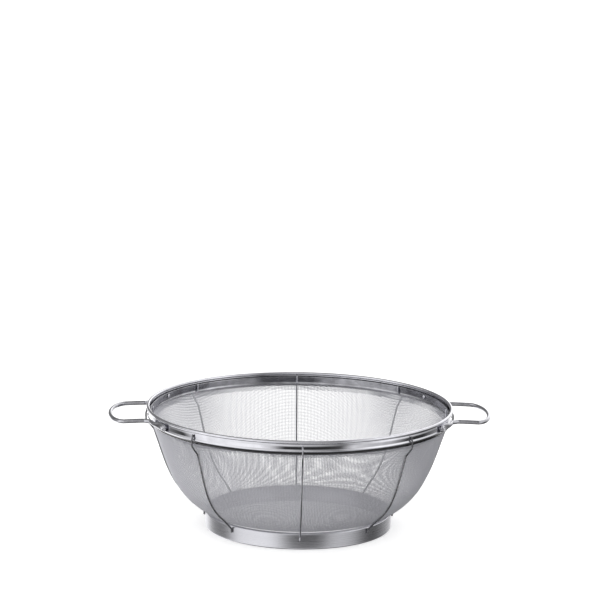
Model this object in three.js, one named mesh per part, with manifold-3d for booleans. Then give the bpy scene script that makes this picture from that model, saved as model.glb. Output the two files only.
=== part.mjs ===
// A stainless steel kitchen colander: a woven wire bowl held in a rolled rim band, standing on a sheet
// metal foot ring, with eight outside ribs and two riveted wire handles.
// Millimetres, +Z up. The origin is the centre of the foot ring's underside. The handles lie along X.
import * as THREE from "three";
import * as BufferGeometryUtils from "three/addons/utils/BufferGeometryUtils.js";
import Module from "manifold-3d";

// ---------- driving dimensions ----------
const RIM_RADIUS = 140; // outside of the rolled edge
const TOTAL_HEIGHT = 113; // top of the rolled edge
const CLEARANCE = 0.3; // between pieces that touch on the real object
const RING_SEGMENTS = 48; // facets round every ring

const ROLL_RADIUS = 1.5; // outside radius of the rolled edge
const ROLL_START = -70; // degrees, where the roll leaves the flat band
const ROLL_END = 205; // degrees, where its edge ends under itself
const FACET_SAG = RIM_RADIUS * (1 - Math.cos(Math.PI / RING_SEGMENTS)); // how far a facet's middle lies in
const SHEET = 0.7; // rim band sheet
const BAND_FACE_RADIUS = 138.2; // outside face of the flat band
const BAND_RIDGE_RADIUS = 139.2; // crest of the small ridge under the flat band
const BAND_RIDGE_Z = 103.8;
const BAND_TOP_Z = 109;
const BAND_BOTTOM_Z = 100.2;
const BAND_LIP_INSET = 1.25; // how far the lip under the ridge is tucked in
const CORE_WIRE_RADIUS = 0.6;

const CLAMP_SHEET = 0.6; // clamp ring inside the rim
const CLAMP_FACE_RADIUS = 135.25; // its inside face
const CLAMP_TOP_Z = 109.2;
const CLAMP_BOTTOM_Z = 102.3;
const CLAMP_LIP = 0.5; // its lower edge turns in this far

const MESH_THICKNESS = 0.9; // a little more than two 0.35 mm wires where they cross
const FLOOR_RADIUS = 84;
const WALL_BELLY = { radius: 119.6, z: 34.4 }; // the wall's curve is pulled towards these two points
const WALL_WAIST = { radius: 119.95, z: 61.2 };
const WALL_TOP = { radius: 135.7, z: 100 };
const MESH_IN_RIM = { radius: 136.3, z: 102.6 }; // from here the mesh stands nearly upright
const MESH_TOP = { radius: 136.6, z: 108.6 };

const FOOT_RADIUS = 85.4;
const FOOT_HEIGHT = 15;
const FOOT_SHEET = 0.8;
const FOOT_FLANGE_RADIUS = 82; // inner edge of the top flange
const FOOT_HEM_RADIUS = 82.8; // inner edge of the turned-in bottom hem
const FOOT_BEND = 1.0;

const WIRE_SIDES = 6; // facets round a thin wire
const RIB_COUNT = 8;
const RIB_CLOCKING = -1.7; // degrees the ribs are turned from the handles' line
const RIB_RADIUS = 0.8;
const RIB_TOP_LEANS = [0, -1.6, 0, 0, 0, 0, 0, 2.3]; // degrees each rib's top lies beside its foot
const RIB_TOP_Z = 108.2;
const RIB_LEAVES_BAND_Z = 99.2;
const RIB_JOINS_MESH_Z = 89.5;
const RIB_LEAVES_MESH_RADIUS = 92.5;
const RIB_FOOT_BEND_Z = 12;
const RIB_BOTTOM_Z = 8.3;

const BACKING_TOP_Z = 110;
const BACKING_BOTTOM_Z = 102.9;

const HANDLE_WIRE_RADIUS = 1.9;
const HANDLE_REACH = 174.8; // outermost point of the handle from the axis
const HANDLE_HALF_SPREAD = 35.5; // wire centre to the X axis
const HANDLE_END_DEPTH = 14; // the loop's end is half an ellipse, this deep
const HANDLE_Z = 106;
const HANDLE_DROOP = 1.1; // the loop's outer end lies this much lower
const HANDLE_BEND = 4.5; // the leg starts its bend this far from the rim
const PAD_ANGLE = 27.5; // degrees from the X axis to the rivet
const PAD_END = 1.5; // degrees of flattened wire beyond the rivet
const PAD_TIP = 0.7; // height of the wire's very end, against the pad's
const PAD_HALF_THICKNESS = 0.8;
const PAD_HALF_HEIGHT = 3.3;
const PAD_BACK_RADIUS = 139.6; // the flattened foot's inside face

const RIVET_Z = 106.5;
const RIVET_SHANK_RADIUS = 1.1;
const RIVET_HOLE_RADIUS = 1.4;
const RIVET_HEAD_RADIUS = 2.6;
const RIVET_HEAD_HEIGHT = 1.2;
const RIVET_TAIL_RADIUS = 1.9;
const RIVET_TAIL_HEIGHT = 0.8;
const RIVET_SIDES = 12;

// ---------- materials ----------
function steel(color, roughness) {
  return new THREE.MeshStandardMaterial({ color, roughness, metalness: 1.0 });
}
const polishedSteel = steel(0xc9cacc, 0.12);
const brushedSteel = steel(0xc2c3c6, 0.3);
const wireSteel = steel(0xbcbdc0, 0.22);
const wovenSteel = steel(0xb4b5b8, 0.4);

// ---------- helpers ----------
const wasm = await Module();
wasm.setup();

const part = new THREE.Group();
part.name = "mesh_colander";

function addMesh(name, geometry, material) {
  const mesh = new THREE.Mesh(geometry, material);
  mesh.name = name;
  part.add(mesh);
  return mesh;
}

/** Points on an arc in the radius-height plane, angles in degrees, ends included. */
function arc(centreRadius, centreZ, radius, fromDegrees, toDegrees, steps) {
  const points = [];
  for (let i = 0; i <= steps; i += 1) {
    const angle = THREE.MathUtils.degToRad(THREE.MathUtils.lerp(fromDegrees, toDegrees, i / steps));
    const point = new THREE.Vector2(Math.cos(angle), Math.sin(angle)).multiplyScalar(radius);
    points.push(point.add(new THREE.Vector2(centreRadius, centreZ)));
  }
  return points;
}

/** Unit normals of an open line of 2D points, on its left-hand side. */
function leftNormals(line) {
  return line.map((point, i) => {
    const before = line[Math.max(i - 1, 0)];
    const after = line[Math.min(i + 1, line.length - 1)];
    const along = after.clone().sub(before).normalize();
    return new THREE.Vector2(-along.y, along.x);
  });
}

/** A line of 2D points moved sideways. */
function offsetLine(line, distance) {
  const normals = leftNormals(line);
  return line.map((point, i) => point.clone().addScaledVector(normals[i], distance));
}

/** Closed outline of a sheet that follows a centre line. */
function sheetOutline(centreLine, thickness) {
  const leftSide = offsetLine(centreLine, thickness / 2);
  const rightSide = offsetLine(centreLine, -thickness / 2);
  return [...leftSide, ...rightSide.reverse()];
}

/** Turns an outline (radius, height) once round the Z axis. */
function turned(outline) {
  const area = THREE.ShapeUtils.area(outline);
  const ordered = area > 0 ? outline : [...outline].reverse();
  const onAxis = ordered[0].x < 1e-6;
  const profile = onAxis ? ordered : [...ordered, ordered[0].clone()];
  return new THREE.LatheGeometry(profile, RING_SEGMENTS).rotateX(Math.PI / 2);
}

/** Merged position-only geometry as a manifold solid. */
function toSolid(geometry) {
  const bare = geometry.clone();
  bare.deleteAttribute("normal");
  bare.deleteAttribute("uv");
  const merged = BufferGeometryUtils.mergeVertices(bare, 1e-4);
  const index = [];
  const triangles = merged.index.array;
  for (let i = 0; i < triangles.length; i += 3) {
    const [a, b, c] = triangles.slice(i, i + 3);
    if (a !== b && b !== c && c !== a) {
      index.push(a, b, c);
    }
  }
  return new wasm.Manifold(
    new wasm.Mesh({
      numProp: 3,
      vertProperties: new Float32Array(merged.attributes.position.array),
      triVerts: new Uint32Array(index),
    }),
  );
}

/** A manifold solid as a three.js geometry. */
function toGeometry(solid) {
  const mesh = solid.getMesh();
  const geometry = new THREE.BufferGeometry();
  geometry.setAttribute("position", new THREE.BufferAttribute(new Float32Array(mesh.vertProperties), 3));
  geometry.setIndex(new THREE.BufferAttribute(new Uint32Array(mesh.triVerts), 1));
  geometry.computeVertexNormals();
  return geometry;
}

/** Unit vector pointing outward at an azimuth, in degrees counter-clockwise from +X. */
function outward(azimuth) {
  const angle = THREE.MathUtils.degToRad(azimuth);
  return new THREE.Vector3(Math.cos(angle), Math.sin(angle), 0);
}

/** A point at a radius, azimuth and height. */
function polar(radius, azimuth, z) {
  return outward(azimuth).multiplyScalar(radius).setZ(z);
}

/**
 * A closed solid that follows stations. Each station has a centre, and two half axes (vectors) of its
 * oval section. Both ends are closed flat.
 */
function loft(stations, sides) {
  const positions = [];
  for (const { centre, halfA, halfB } of stations) {
    for (let k = 0; k < sides; k += 1) {
      const angle = (2 * Math.PI * k) / sides;
      const point = centre.clone().addScaledVector(halfA, Math.cos(angle));
      point.addScaledVector(halfB, Math.sin(angle));
      positions.push(...point.toArray());
    }
  }
  const index = [];
  for (let i = 0; i < stations.length - 1; i += 1) {
    for (let k = 0; k < sides; k += 1) {
      const next = (k + 1) % sides;
      const a = i * sides + k;
      const b = i * sides + next;
      const c = a + sides;
      const d = b + sides;
      index.push(a, b, c, b, d, c);
    }
  }
  const lastRing = (stations.length - 1) * sides;
  for (let k = 1; k < sides - 1; k += 1) {
    index.push(0, k + 1, k);
    index.push(lastRing, lastRing + k, lastRing + k + 1);
  }
  const geometry = new THREE.BufferGeometry();
  geometry.setAttribute("position", new THREE.BufferAttribute(new Float32Array(positions), 3));
  geometry.setIndex(index);
  geometry.computeVertexNormals();
  return geometry;
}

/** A round wire along points. Each point has a unit vector that points sideways from the wire. */
function roundWire(points, sideways, radius, sides) {
  const stations = points.map((centre, i) => {
    const before = points[Math.max(i - 1, 0)];
    const after = points[Math.min(i + 1, points.length - 1)];
    const along = after.clone().sub(before).normalize();
    const across = along.clone().cross(sideways[i]).normalize();
    return {
      centre,
      halfA: sideways[i].clone().multiplyScalar(radius),
      halfB: across.multiplyScalar(radius),
    };
  });
  return loft(stations, sides);
}

// ---------- woven bowl ----------
// The wall is one cubic curve from the floor's edge to the rim, then it stands nearly upright in the rim.
const FLOOR_Z = FOOT_HEIGHT + CLEARANCE + MESH_THICKNESS / 2;
const wallCurve = new THREE.CubicBezierCurve(
  new THREE.Vector2(FLOOR_RADIUS, FLOOR_Z),
  new THREE.Vector2(WALL_BELLY.radius, WALL_BELLY.z),
  new THREE.Vector2(WALL_WAIST.radius, WALL_WAIST.z),
  new THREE.Vector2(WALL_TOP.radius, WALL_TOP.z),
);
const WALL_STEPS = 10;

function bowlCentreLine() {
  return [
    new THREE.Vector2(0, FLOOR_Z),
    ...wallCurve.getPoints(WALL_STEPS),
    new THREE.Vector2(MESH_IN_RIM.radius, MESH_IN_RIM.z),
    new THREE.Vector2(MESH_TOP.radius, MESH_TOP.z),
  ];
}

function bowlOutline() {
  const centreLine = bowlCentreLine();
  const inside = offsetLine(centreLine, MESH_THICKNESS / 2);
  const outside = offsetLine(centreLine, -MESH_THICKNESS / 2);
  inside[0].x = 0;
  outside[0].x = 0;
  return [...outside, ...inside.reverse()];
}

// ---------- rivet places ----------
const rivetPlaces = [
  { name: "rivet_right_front", azimuth: -PAD_ANGLE },
  { name: "rivet_right_back", azimuth: PAD_ANGLE },
  { name: "rivet_left_front", azimuth: 180 + PAD_ANGLE },
  { name: "rivet_left_back", azimuth: 180 - PAD_ANGLE },
];

/** A cylinder through the rim at a rivet's place. */
function rivetDrill(azimuth) {
  const length = 24;
  const drill = new THREE.CylinderGeometry(RIVET_HOLE_RADIUS, RIVET_HOLE_RADIUS, length, RIVET_SIDES);
  drill.rotateZ(-Math.PI / 2);
  drill.rotateZ(THREE.MathUtils.degToRad(azimuth));
  const centre = polar(BAND_FACE_RADIUS, azimuth, RIVET_Z);
  drill.translate(centre.x, centre.y, centre.z);
  return toSolid(drill);
}

function withRivetHoles(geometry, places = rivetPlaces) {
  let solid = toSolid(geometry);
  for (const { azimuth } of places) {
    solid = solid.subtract(rivetDrill(azimuth));
  }
  return toGeometry(solid);
}

addMesh("mesh_bowl", withRivetHoles(turned(bowlOutline())), wovenSteel);

// ---------- rim ----------
// One strip: a tucked-in lip, a small ridge, the flat band, and the rolled edge round its core wire.
const ROLL_CENTRE_RADIUS = RIM_RADIUS - ROLL_RADIUS;
const ROLL_CENTRE_Z = TOTAL_HEIGHT - ROLL_RADIUS;

function rimBandCentreLine() {
  const wall = BAND_FACE_RADIUS - SHEET / 2;
  const crest = BAND_RIDGE_RADIUS - SHEET / 2;
  return [
    new THREE.Vector2(BAND_FACE_RADIUS - BAND_LIP_INSET, BAND_BOTTOM_Z),
    new THREE.Vector2(BAND_FACE_RADIUS - 0.9, BAND_RIDGE_Z - 2.1),
    new THREE.Vector2(crest - 0.45, BAND_RIDGE_Z - 0.9),
    new THREE.Vector2(crest, BAND_RIDGE_Z),
    new THREE.Vector2(crest - 0.55, BAND_RIDGE_Z + 0.9),
    new THREE.Vector2(wall, BAND_RIDGE_Z + 1.4),
    new THREE.Vector2(wall, BAND_TOP_Z),
    ...arc(ROLL_CENTRE_RADIUS, ROLL_CENTRE_Z, ROLL_RADIUS - SHEET / 2, ROLL_START, ROLL_END, 7),
  ];
}
const bandSolid = withRivetHoles(turned(sheetOutline(rimBandCentreLine(), SHEET)));
addMesh("rim_band", bandSolid, polishedSteel);

function coreWireOutline() {
  const sides = 6;
  const lastAngle = 360 - 360 / sides;
  return arc(ROLL_CENTRE_RADIUS, ROLL_CENTRE_Z, CORE_WIRE_RADIUS, 0, lastAngle, sides - 1);
}
addMesh("rim_core_wire", turned(coreWireOutline()), wireSteel);

function clampRingCentreLine() {
  const face = CLAMP_FACE_RADIUS + CLAMP_SHEET / 2;
  return [
    new THREE.Vector2(face - CLAMP_LIP, CLAMP_BOTTOM_Z),
    new THREE.Vector2(face - CLAMP_LIP / 5, CLAMP_BOTTOM_Z + 0.9),
    new THREE.Vector2(face, CLAMP_BOTTOM_Z + 2),
    new THREE.Vector2(face, CLAMP_TOP_Z),
  ];
}
const clampSolid = withRivetHoles(turned(sheetOutline(clampRingCentreLine(), CLAMP_SHEET)));
addMesh("rim_clamp_ring", clampSolid, polishedSteel);

// ---------- foot ring ----------
// Top flange under the woven floor, upright wall, and a hem turned in at the bottom to stand on.
function footCentreLine() {
  const wall = FOOT_RADIUS - FOOT_SHEET / 2;
  const flangeZ = FOOT_HEIGHT - FOOT_SHEET / 2;
  const hemZ = FOOT_SHEET / 2;
  return [
    new THREE.Vector2(FOOT_FLANGE_RADIUS, flangeZ),
    ...arc(wall - FOOT_BEND, flangeZ - FOOT_BEND, FOOT_BEND, 90, 0, 2),
    ...arc(wall - FOOT_BEND, hemZ + FOOT_BEND, FOOT_BEND, 0, -90, 2),
    new THREE.Vector2(FOOT_HEM_RADIUS, hemZ),
  ];
}
addMesh("foot_ring", turned(sheetOutline(footCentreLine(), FOOT_SHEET)), brushedSteel);

// ---------- ribs ----------
/** Centre line of one rib as (radius, height): band, step in to the bowl, down the bowl, foot. */
function ribLine() {
  const onBowl = [];
  const wallSteps = 40;
  const stride = 4;
  const wall = wallCurve.getPoints(wallSteps);
  const lifted = offsetLine(wall, -(MESH_THICKNESS / 2 + CLEARANCE + RIB_RADIUS));
  for (let i = wallSteps; i >= 0; i -= stride) {
    if (lifted[i].y < RIB_JOINS_MESH_Z && lifted[i].x > RIB_LEAVES_MESH_RADIUS) {
      onBowl.push(lifted[i]);
    }
  }
  const bandRadius = BAND_FACE_RADIUS + CLEARANCE + RIB_RADIUS;
  const ridgeRadius = BAND_RIDGE_RADIUS + CLEARANCE + RIB_RADIUS + 0.1;
  const footRadius = FOOT_RADIUS + CLEARANCE + RIB_RADIUS;
  return [
    new THREE.Vector2(bandRadius + 0.2, RIB_TOP_Z),
    new THREE.Vector2(bandRadius + 0.4, RIB_TOP_Z - 2.2),
    new THREE.Vector2(ridgeRadius, BAND_RIDGE_Z + 0.4),
    new THREE.Vector2(ridgeRadius, RIB_LEAVES_BAND_Z),
    new THREE.Vector2(ridgeRadius - 0.7, RIB_LEAVES_BAND_Z - 2),
    new THREE.Vector2(ridgeRadius - 5.8, RIB_LEAVES_BAND_Z - 8),
    ...onBowl,
    new THREE.Vector2(footRadius + 0.5, RIB_FOOT_BEND_Z + 0.6),
    new THREE.Vector2(footRadius, RIB_FOOT_BEND_Z - 0.6),
    new THREE.Vector2(footRadius, RIB_BOTTOM_Z),
  ];
}

function backingLine() {
  const radius = CLAMP_FACE_RADIUS - FACET_SAG - CLEARANCE - RIB_RADIUS;
  return [new THREE.Vector2(radius, BACKING_TOP_Z), new THREE.Vector2(radius, BACKING_BOTTOM_Z)];
}

/** A wire along a (radius, height) line, whose azimuth moves by lean degrees from the foot to the rim. */
function uprightWire(line, footAzimuth, lean) {
  const azimuths = line.map((point) => {
    return footAzimuth + lean * THREE.MathUtils.smoothstep(point.y, RIB_FOOT_BEND_Z, RIB_LEAVES_BAND_Z);
  });
  const centres = line.map((point, i) => polar(point.x, azimuths[i], point.y));
  const sideways = azimuths.map((azimuth) => outward(azimuth + 90));
  return roundWire(centres, sideways, RIB_RADIUS, WIRE_SIDES);
}

for (let i = 0; i < RIB_COUNT; i += 1) {
  const azimuth = -90 + RIB_CLOCKING + (360 * i) / RIB_COUNT;
  const lean = RIB_TOP_LEANS[i];
  addMesh(`rib_${i + 1}`, uprightWire(ribLine(), azimuth, lean), wireSteel);
  addMesh(`rib_backing_${i + 1}`, uprightWire(backingLine(), azimuth, lean), wireSteel);
}

// ---------- handles ----------
/** Stations of half a handle, from the loop's middle on +X round to the flattened foot on +Y. */
function handleHalfStations() {
  const reach = HANDLE_REACH - HANDLE_WIRE_RADIUS;
  const onRimRadius = BAND_RIDGE_RADIUS + CLEARANCE + HANDLE_WIRE_RADIUS + 0.2;
  const legEndX = Math.sqrt(onRimRadius ** 2 - HANDLE_HALF_SPREAD ** 2) + HANDLE_BEND;
  const endSteps = 9;
  const rimSteps = 8;
  const firstRimAngle = THREE.MathUtils.radToDeg(Math.asin(HANDLE_HALF_SPREAD / onRimRadius)) + 1.6;
  const lastRimAngle = PAD_ANGLE + PAD_END;

  const path = [];
  for (let i = 0; i <= endSteps; i += 1) {
    const turn = (Math.PI / 2) * (i / endSteps);
    const x = reach - HANDLE_END_DEPTH * (1 - Math.cos(turn));
    path.push({ point: new THREE.Vector2(x, HANDLE_HALF_SPREAD * Math.sin(turn)), flatten: 0 });
  }
  path.push({ point: new THREE.Vector2(legEndX, HANDLE_HALF_SPREAD), flatten: 0 });
  for (let i = 0; i <= rimSteps; i += 1) {
    const angle = THREE.MathUtils.lerp(firstRimAngle, lastRimAngle, i / rimSteps);
    const flatten = THREE.MathUtils.smoothstep(angle, firstRimAngle + 3, PAD_ANGLE - 2.5);
    const radius = THREE.MathUtils.lerp(onRimRadius, PAD_BACK_RADIUS + PAD_HALF_THICKNESS, flatten);
    const spot = outward(angle).multiplyScalar(radius);
    path.push({ point: new THREE.Vector2(spot.x, spot.y), flatten });
  }

  return path.map(({ point, flatten }, i) => {
    const before = path[Math.max(i - 1, 0)].point;
    const after = path[Math.min(i + 1, path.length - 1)].point;
    const along = i === 0 ? new THREE.Vector2(0, 1) : after.clone().sub(before).normalize();
    const halfThickness = THREE.MathUtils.lerp(HANDLE_WIRE_RADIUS, PAD_HALF_THICKNESS, flatten);
    const tip = i === path.length - 1 ? PAD_TIP : 1;
    const halfHeight = THREE.MathUtils.lerp(HANDLE_WIRE_RADIUS, PAD_HALF_HEIGHT, flatten) * tip;
    const droop = HANDLE_DROOP * THREE.MathUtils.smoothstep(point.x, legEndX, reach);
    const z = THREE.MathUtils.lerp(HANDLE_Z - droop, RIVET_Z, flatten);
    return {
      centre: new THREE.Vector3(point.x, point.y, z),
      halfA: new THREE.Vector3(-along.y, along.x, 0).multiplyScalar(halfThickness),
      halfB: new THREE.Vector3(0, 0, halfHeight),
    };
  });
}

/** The same stations on the other side of the X axis, in reverse order. */
function mirroredStations(stations) {
  const flip = new THREE.Vector3(1, -1, 1);
  return stations
    .slice(1)
    .reverse()
    .map(({ centre, halfA, halfB }) => ({
      centre: centre.clone().multiply(flip),
      halfA: halfA.clone().multiply(flip),
      halfB: halfB.clone(),
    }));
}

function handleGeometry() {
  const half = handleHalfStations();
  const sides = 10;
  return loft([...mirroredStations(half), ...half], sides);
}

const rightHandle = withRivetHoles(handleGeometry(), rivetPlaces.slice(0, 2));
addMesh("handle_right", rightHandle, wireSteel);
addMesh("handle_left", rightHandle.clone().rotateZ(Math.PI), wireSteel);

// ---------- rivets ----------
// Turned about its own axis: inner tail, shank through clamp ring, mesh, band and handle foot, domed head.
function rivetGeometry() {
  const padFace = PAD_BACK_RADIUS + 2 * PAD_HALF_THICKNESS + CLEARANCE;
  const tailFace = CLAMP_FACE_RADIUS - CLEARANCE - FACET_SAG;
  const profile = [
    new THREE.Vector2(0, tailFace - RIVET_TAIL_HEIGHT),
    new THREE.Vector2(RIVET_TAIL_RADIUS * 0.7, tailFace - RIVET_TAIL_HEIGHT * 0.85),
    new THREE.Vector2(RIVET_TAIL_RADIUS, tailFace - RIVET_TAIL_HEIGHT * 0.3),
    new THREE.Vector2(RIVET_TAIL_RADIUS, tailFace),
    new THREE.Vector2(RIVET_SHANK_RADIUS, tailFace),
    new THREE.Vector2(RIVET_SHANK_RADIUS, padFace),
    new THREE.Vector2(RIVET_HEAD_RADIUS, padFace),
    new THREE.Vector2(RIVET_HEAD_RADIUS, padFace + RIVET_HEAD_HEIGHT * 0.3),
    new THREE.Vector2(RIVET_HEAD_RADIUS * 0.75, padFace + RIVET_HEAD_HEIGHT * 0.8),
    new THREE.Vector2(0, padFace + RIVET_HEAD_HEIGHT),
  ];
  return new THREE.LatheGeometry(profile, RIVET_SIDES).rotateZ(-Math.PI / 2);
}

for (const { name, azimuth } of rivetPlaces) {
  const rivet = rivetGeometry().rotateZ(THREE.MathUtils.degToRad(azimuth)).translate(0, 0, RIVET_Z);
  addMesh(name, rivet, polishedSteel);
}

export default part;
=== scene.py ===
"""Looks of a stainless steel kitchen colander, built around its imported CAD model.

The CAD bowl is one plain shell, so here it becomes woven wire. The rim, foot, ribs, handles and rivets are
finer meshes of the same shapes, each with its own steel. Shapes are worked out in millimetres, the studio and
the camera in metres.
"""

import math

import bmesh
import bpy
import numpy as np
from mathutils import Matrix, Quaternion, Vector


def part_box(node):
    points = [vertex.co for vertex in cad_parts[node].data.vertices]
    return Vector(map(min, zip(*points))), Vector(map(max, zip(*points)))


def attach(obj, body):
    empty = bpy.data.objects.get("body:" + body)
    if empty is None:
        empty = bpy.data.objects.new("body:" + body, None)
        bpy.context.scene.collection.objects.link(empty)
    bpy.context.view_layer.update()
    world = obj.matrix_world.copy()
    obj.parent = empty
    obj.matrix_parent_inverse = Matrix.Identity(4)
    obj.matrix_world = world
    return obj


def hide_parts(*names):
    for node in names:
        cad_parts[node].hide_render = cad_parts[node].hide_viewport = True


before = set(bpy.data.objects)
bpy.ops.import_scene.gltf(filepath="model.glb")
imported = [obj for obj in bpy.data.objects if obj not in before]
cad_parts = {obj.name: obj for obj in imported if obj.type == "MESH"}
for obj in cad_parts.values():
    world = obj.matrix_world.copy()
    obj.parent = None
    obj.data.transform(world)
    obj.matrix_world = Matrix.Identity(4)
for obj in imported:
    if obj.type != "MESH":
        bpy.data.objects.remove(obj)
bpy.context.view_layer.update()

MM = 0.001
UP = np.array([0.0, 0.0, 1.0])

# ---------- sizes taken from the CAD frame ----------


def box_mm(node):
    """Lowest and highest corner of a CAD node, in millimetres."""
    low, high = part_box(node)
    return low / MM, high / MM


bowl_low, bowl_high = box_mm("mesh_bowl")
band_low, band_high = box_mm("rim_band")
clamp_low, clamp_high = box_mm("rim_clamp_ring")
core_low, core_high = box_mm("rim_core_wire")
foot_low, foot_high = box_mm("foot_ring")
handle_low, handle_high = box_mm("handle_right")

RIM_RADIUS = band_high.x
RIM_TOP = band_high.z
BAND_BOTTOM = band_low.z
CLAMP_OUTER = clamp_high.x
CLAMP_TOP = clamp_high.z
CLAMP_BOTTOM = clamp_low.z
FOOT_RADIUS = foot_high.x
FOOT_HEIGHT = foot_high.z
MESH_TOP = bowl_high.z
HANDLE_REACH = handle_high.x

# ---------- sheet and wire ----------
RING_SEGMENTS = 288

ROLL_RADIUS = 1.5
BAND_SHEET = 0.7
BAND_FACE = RIM_RADIUS - 1.8  # outside of the flat band
BAND_CROWN = 0.3  # the flat band curves in by this much at its top
RIDGE_FACE = RIM_RADIUS - 0.8  # crest of the ridge under it
ROLL_START = -70.0  # degrees: from low on the outside, over the top, to the inside
ROLL_END = 205.0
RIDGE_Z = BAND_BOTTOM + 3.6  # height of its crest
SHADED_LIP_Z = BAND_BOTTOM + 2.3  # the lip below this is in the ridge's shade, painted into its colour
CORE_RADIUS = (core_high.z - core_low.z) / 2 * 1.1  # fills the roll a little better than in the CAD

CLAMP_SHEET = 0.6
FOOT_SHEET = 0.8
FOOT_FLANGE = 3.4  # the top flange reaches this far in
FOOT_HEM = 2.6  # the bottom hem turns in this far

MESH_PITCH = 1.4
MESH_WIRE = 0.35  # diameter
MESH_WIRE_SIDES = 6
MESH_PARTS = 6  # pieces for each direction of the bowl's wires
CAD_MESH_THICKNESS = 0.9
FLOOR_Z = bowl_low.z + CAD_MESH_THICKNESS / 2  # middle of the cloth, where the floor is flat
FLOOR_RADIUS = 84.0
FLOOR_BEND = 4  # the floor turns into the wall from this far inside its edge to this far outside
SQUARE_CLOTH_RADIUS = FLOOR_RADIUS - 5  # the weave stays flat and square out to here
WALL_STEPS = 400
WALL_BELLY = (119.6, 34.4)  # (radius, height); the wall's curve is pulled towards these two points
WALL_WAIST = (119.95, 61.2)
WALL_TOP = (135.7, 100.0)
# Upright stretch between the band and the clamp. The last point only gives the wires their direction.
MESH_IN_RIM = ((136.3, 102.6), (136.6, MESH_TOP), (136.9, MESH_TOP + 40))
WALL_RUN_ON = 60  # length of a straight stretch past the wall's top, for a net with no upright stretch
HEM_BOTTOM = 96.4  # the folded edge of the mesh ends here, inside the bowl
HEM_TOP = CLAMP_BOTTOM + 1.0  # the clamp ring hides it from here up
HEM_INSET = 1.0
HEM_TURN = math.radians(0.45)  # keeps the folded layer's wires from lining up with the bowl's

RIB_COUNT = 8
FRONT_RIB = 0  # painted lighter than the others: its steel is a lit copy of theirs
RIB_CLOCKING = -1.7  # degrees
RIB_TOP_LEANS = (0, -1.2, 0, 0, 0, 0, 0, 1.5)  # degrees each rib's top lies beside its foot
RIB_RADIUS = 0.8
RIB_TOP_Z = 108.1
RIB_REACHES_RIDGE_Z = 104.2
RIB_LEAVES_BAND_Z = 99.4
RIB_NEARS_MESH = (134.6, 91.2)  # (radius, height)
RIB_JOINS_MESH_Z = 89.5
RIB_LEAVES_MESH_RADIUS = 92.5
RIB_POINT_EVERY = 24  # the rib's line takes one of so many points of the wall's curve
RIB_BOTTOM_Z = 9.1
LEAN_FROM_Z = 12.0  # a leaning rib moves sideways between these two heights
LEAN_TO_Z = 99.2
BACKING_TOP_Z = 109.2
BACKING_BOTTOM_Z = 103.7
BACKING_POINTS = 8
WELD_GAP = 0.3  # between pieces that are welded together

HANDLE_RADIUS = 1.9
HANDLE_HALF_SPREAD = 35.5  # wire centre to the X axis
HANDLE_END_DEPTH = 14.0  # the loop's end is half an ellipse
HANDLE_Z = 106.0
HANDLE_DROOP = 1.1  # the loop's outer end lies this much lower
HANDLE_GAP = 0.5  # between the wire and the ridge
HANDLE_LEG_GAP = 4.5  # a leg starts to bend this far outside the rim
HANDLE_LEG_TURN = 1.6  # degrees round the rim that this bend takes
FLATTENING_FROM = 2.5  # degrees past the bend where the round wire starts to flatten
PAD_ANGLE = 27.5  # degrees from the X axis
PAD_FLAT_BEFORE = 2.2  # degrees before the rivet where it is quite flat
PAD_LENGTH_PAST_RIVET = 1.2  # degrees
PAD_ROUNDING = 1.5  # degrees over which its end is rounded
PAD_HALF_THICKNESS = 0.8
PAD_HALF_HEIGHT = 3.4
PAD_BACK = RIM_RADIUS - 0.4  # inside face of a handle's flattened end

RIVET_Z = 106.5
RIVET_SHANK = 1.1  # radii
RIVET_HEAD = 2.6
RIVET_TAIL = 1.9
RIVET_SEGMENTS = 40


# ---------- curves ----------
def arc(centre, radius, start, end, steps):
    """Points (radius, height) on an arc, angles in degrees."""
    angles = np.radians(np.linspace(start, end, steps))
    return np.stack([centre[0] + radius * np.cos(angles), centre[1] + radius * np.sin(angles)], axis=1)


def smooth_line(points, steps):
    """A Catmull-Rom curve through every point, with this many steps between two points."""
    points = np.asarray(points, float)
    before = 2 * points[0] - points[1]
    after = 2 * points[-1] - points[-2]
    padded = np.vstack([before, points, after])
    t = np.linspace(0, 1, steps, endpoint=False)[:, None]
    parts = []
    for p0, p1, p2, p3 in zip(padded, padded[1:], padded[2:], padded[3:]):
        bend = (2 * p0 - 5 * p1 + 4 * p2 - p3) * t**2 + (3 * p1 - p0 - 3 * p2 + p3) * t**3
        parts.append(p1 + 0.5 * ((p2 - p0) * t + bend))
    parts.append(points[-1:])
    return np.vstack(parts)


def tangents(line):
    """Unit direction of a line at each of its points."""
    along = np.gradient(line, axis=0)
    return along / np.linalg.norm(along, axis=1, keepdims=True)


def left_of(line):
    """Unit normals of a (radius, height) line, on its left."""
    along = tangents(line)
    return np.stack([-along[:, 1], along[:, 0]], axis=1)


def sheet_outline(centre_line, thickness):
    """Closed outline of a sheet along a centre line, with rounded edges."""
    half = thickness / 2
    side = left_of(centre_line) * half
    along = tangents(centre_line) * half
    turn = np.radians([-54, -18, 18, 54])[:, None]
    end_cap = centre_line[-1] + along[-1] * np.cos(turn) - side[-1] * np.sin(turn)
    start_cap = centre_line[0] - along[0] * np.cos(turn) + side[0] * np.sin(turn)
    return np.vstack([centre_line + side, end_cap, (centre_line - side)[::-1], start_cap])


def smoothstep(value, low, high):
    """From 0 to 1 between two limits, level at both ends."""
    t = np.clip((value - low) / (high - low), 0, 1)
    return t * t * (3 - 2 * t)


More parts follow.
